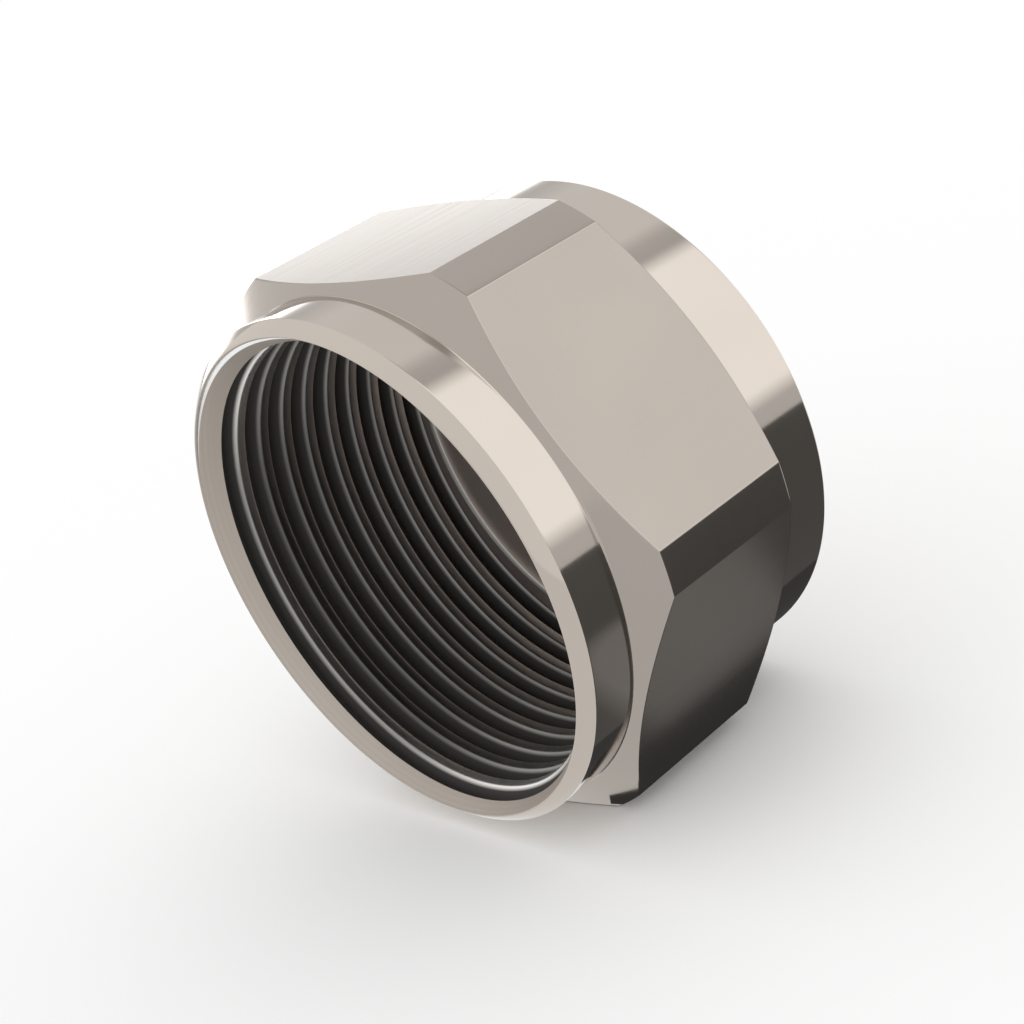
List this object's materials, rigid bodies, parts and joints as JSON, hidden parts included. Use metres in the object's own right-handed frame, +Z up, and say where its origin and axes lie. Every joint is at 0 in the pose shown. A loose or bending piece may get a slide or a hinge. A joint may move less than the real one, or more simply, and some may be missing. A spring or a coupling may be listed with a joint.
{
  "type": "threaded protection cap",
  "caption": "Hexagonal metal cap with a round collar at each end, a countersunk internal thread and a closed back.",
  "frame": {"origin": "on the surface that the cap lies on, under the middle of its length", "axes": "+Z up, out of the upper flat; -Y along the thread axis, out of the mouth; +X across the corners"},
  "size_m": [0.04, 0.0228, 0.036],
  "materials": {
    "cap": "satin turned and milled metal, warm grey"
  },
  "bodies": {
    "root": {"cap": "cap"}
  },
  "joints": []
}
